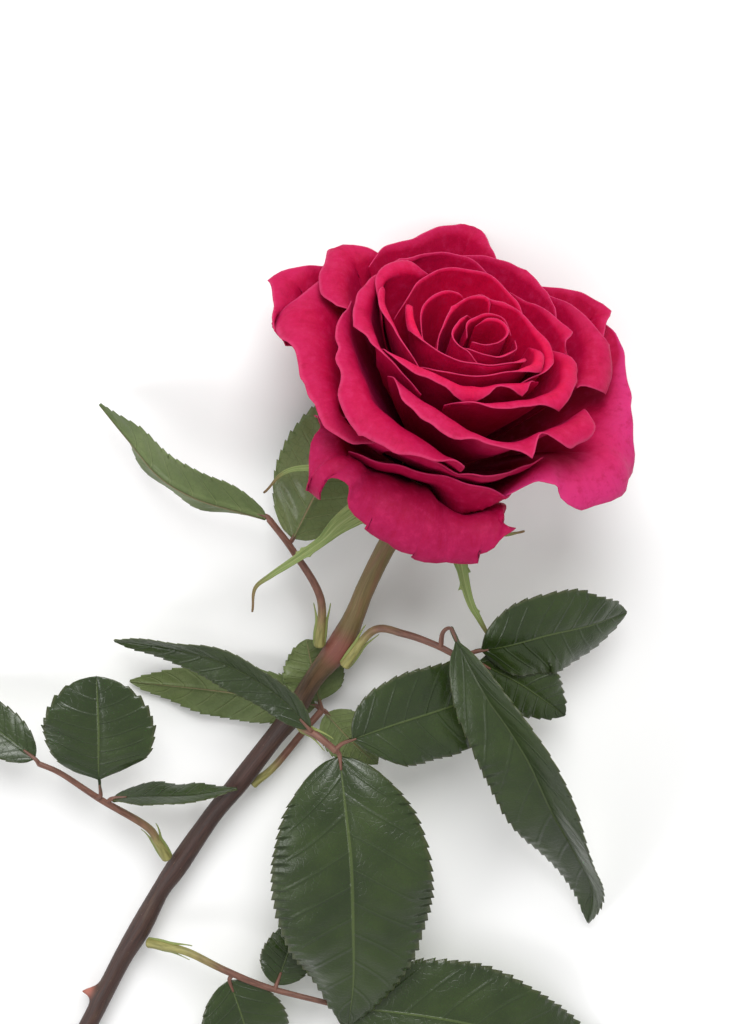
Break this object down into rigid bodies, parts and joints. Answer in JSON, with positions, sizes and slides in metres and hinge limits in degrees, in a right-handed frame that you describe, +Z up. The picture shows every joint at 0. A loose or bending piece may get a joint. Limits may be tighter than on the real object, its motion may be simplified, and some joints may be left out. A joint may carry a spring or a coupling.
{
  "type": "cut rose",
  "caption": "Cut rose lying on its side: an open bloom of spirally wrapped petals with rolled edges on a leafy stem with toothed compound leaves.",
  "frame": {"origin": "on the surface the rose lies on, under the middle of its bounding box", "axes": "+Y along the stem from its cut end towards the bloom, +Z up, +X towards the side the bloom's face turns to"},
  "size_m": [0.1864, 0.2584, 0.0732],
  "materials": {
    "petal": "velvety crimson-pink petal, lighter on its rolled edge",
    "leaf": "waxy dark green leaf with a paler underside",
    "stem": "smooth red-brown rose cane with an olive neck",
    "stalk": "yellow-green leaf stalk flushed red-brown",
    "sepal": "thin light green sepal with a brown tip"
  },
  "bodies": {
    "root": {"leaf_a_end": "leaf", "leaf_a_right": "leaf", "leaf_a_stalk": "stalk", "leaf_b_end": "leaf", "leaf_b_left": "leaf", "leaf_b_right": "leaf", "leaf_b_stalk": "stalk", "leaf_c_end": "leaf", "leaf_c_left": "leaf", "leaf_c_right": "leaf", "leaf_c_stalk": "stalk", "leaf_d_left": "leaf", "leaf_d_right": "leaf", "leaf_d_stalk": "stalk", "leaf_d_up": "leaf", "leaf_e_down": "leaf", "leaf_e_end": "leaf", "leaf_e_side": "leaf", "leaf_e_stalk": "stalk", "leaf_f_end": "leaf", "leaf_f_left": "leaf", "leaf_f_stalk": "stalk", "leaf_f_up": "leaf", "petal_01": "petal", "petal_02": "petal", "petal_03": "petal", "petal_04": "petal", "petal_05": "petal", "petal_06": "petal", "petal_07": "petal", "petal_08": "petal", "petal_09": "petal", "petal_10": "petal", "petal_11": "petal", "petal_12": "petal", "petal_13": "petal", "petal_14": "petal", "petal_15": "petal", "petal_16": "petal", "petal_17": "petal", "petal_18": "petal", "petal_19": "petal", "petal_20": "petal", "petal_21": "petal", "petal_22": "petal", "petal_23": "petal", "petal_24": "petal", "petal_25": "petal", "petal_26": "petal", "petal_27": "petal", "petal_28": "petal", "petal_29": "petal", "petal_30": "petal", "sepal_1": "sepal", "sepal_2": "sepal", "sepal_3": "sepal", "sepal_4": "sepal", "sepal_5": "sepal", "stem": "stem"}
  },
  "joints": []
}
